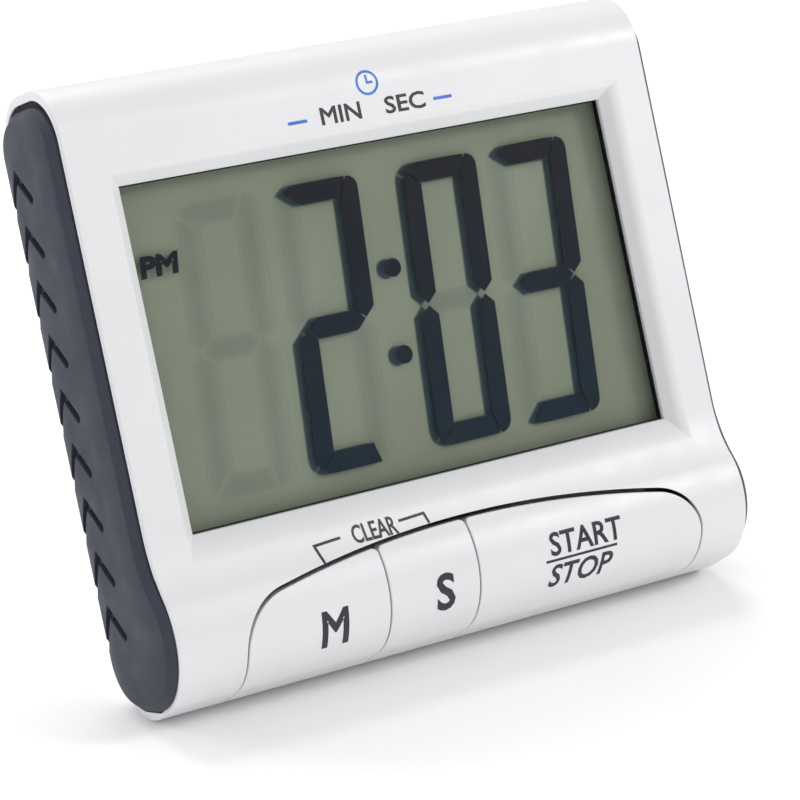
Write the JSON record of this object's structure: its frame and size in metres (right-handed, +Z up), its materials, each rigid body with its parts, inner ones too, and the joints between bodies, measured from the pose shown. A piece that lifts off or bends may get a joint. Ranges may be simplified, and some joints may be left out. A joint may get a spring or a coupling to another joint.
{
  "type": "digital countdown timer",
  "caption": "Leaning table timer with a large liquid crystal display, curved front keys, ribbed grips on its ends and a fold-out stand.",
  "frame": {"origin": "on the table under the middle of the timer's own box, as it stands on its fold-out stand", "axes": "+X to the right as the display is read, +Y towards the back, +Z up; the display leans back 23.3 degrees"},
  "size_m": [0.0948, 0.0472, 0.08],
  "materials": {
    "case_white": "satin moulded ABS, slightly cool white",
    "key_white": "satin moulded ABS, slightly cool white",
    "grip_slate": "matte slate grey with soft sheen",
    "polarizer": "clear film, anti-glare",
    "lcd_glass": "clear",
    "lcd_mark": "near-black navy liquid crystal",
    "reflector": "grey-green reflective film",
    "holder_plastic": "ivory",
    "zebra_rubber": "matte",
    "board_green": "solder mask",
    "epoxy_black": "cured epoxy blob",
    "capacitor_sleeve": "shrunk sleeve",
    "bright_steel": "nickel plated",
    "screw_steel": "zinc plated",
    "brass_disc": "thin sheet",
    "ceramic_disc": "silvered ceramic",
    "wire_insulation": "PVC, one red and one black",
    "silicone": "translucent silicone",
    "cell_jacket": "plain coloured sleeve on a steel can",
    "magnet_ferrite": "sintered ferrite",
    "switch_black": "matte"
  },
  "bodies": {
    "case": {"front_case": "case_white", "rear_case": "case_white", "left_grip": "grip_slate", "right_grip": "grip_slate", "lcd_polarizer": "polarizer", "lcd_front_glass": "lcd_glass", "lcd_segments": "lcd_mark", "lcd_rear_glass": "lcd_glass", "lcd_reflector": "reflector", "lcd_holder": "holder_plastic", "zebra_strip": "zebra_rubber", "main_board": "board_green", "controller_chip": "epoxy_black", "crystal": "bright_steel", "capacitors": "capacitor_sleeve", "chip_resistors": "epoxy_black", "board_screws": "screw_steel", "buzzer_plate": "brass_disc", "buzzer_ceramic": "ceramic_disc", "buzzer_wires": "wire_insulation", "key_pivot_rod": "bright_steel", "keypad": "silicone", "positive_contact": "bright_steel", "negative_contact": "bright_steel", "battery_wires": "wire_insulation", "magnets": "magnet_ferrite", "mode_switch_body": "bright_steel", "case_screws": "screw_steel"},
    "minutes_key": {"minutes_key": "key_white"},
    "seconds_key": {"seconds_key": "key_white"},
    "start_stop_key": {"start_stop_key": "key_white"},
    "stand": {"stand": "case_white"},
    "battery": {"battery_cell": "cell_jacket"},
    "battery_door": {"battery_door": "case_white"},
    "mode_switch": {"mode_switch_knob": "switch_black"}
  },
  "joints": [
    {"name": "minutes_key_press", "type": "hinge", "parent": "case", "child": "minutes_key", "pos_m": [-0.0246, -0.01572, 0.00587], "axis": [-1, 0, 0], "range_deg": [0, 4], "stiffness_Nm_per_rad": 0.3, "deforming": ["keypad"]},
    {"name": "seconds_key_press", "type": "hinge", "parent": "case", "child": "seconds_key", "pos_m": [-0.0066, -0.01572, 0.00587], "axis": [-1, 0, 0], "range_deg": [0, 4], "stiffness_Nm_per_rad": 0.3, "deforming": ["keypad"]},
    {"name": "start_stop_key_press", "type": "hinge", "parent": "case", "child": "start_stop_key", "pos_m": [0.0192, -0.01572, 0.00587], "axis": [-1, 0, 0], "range_deg": [0, 4], "stiffness_Nm_per_rad": 0.3, "deforming": ["keypad"]},
    {"name": "stand_fold", "type": "hinge", "parent": "case", "child": "stand", "pos_m": [0, 0.00888, 0.041], "axis": [-1, 0, 0], "range_deg": [0, 39.77]},
    {"name": "battery_lift_out", "type": "slide", "parent": "case", "child": "battery", "axis": [0, 0.9184, -0.3955], "range_m": [0, 0.025]},
    {"name": "battery_door_off", "type": "slide", "parent": "case", "child": "battery_door", "axis": [0, 0.9184, -0.3955], "range_m": [0, 0.05]},
    {"name": "mode_switch_slide", "type": "slide", "parent": "case", "child": "mode_switch", "axis": [1, 0, 0], "range_m": [0, 0.004]}
  ],
  "couplings": [
    {"joint": "battery_door_off", "follows": "battery_lift_out", "ratio": 2}
  ]
}
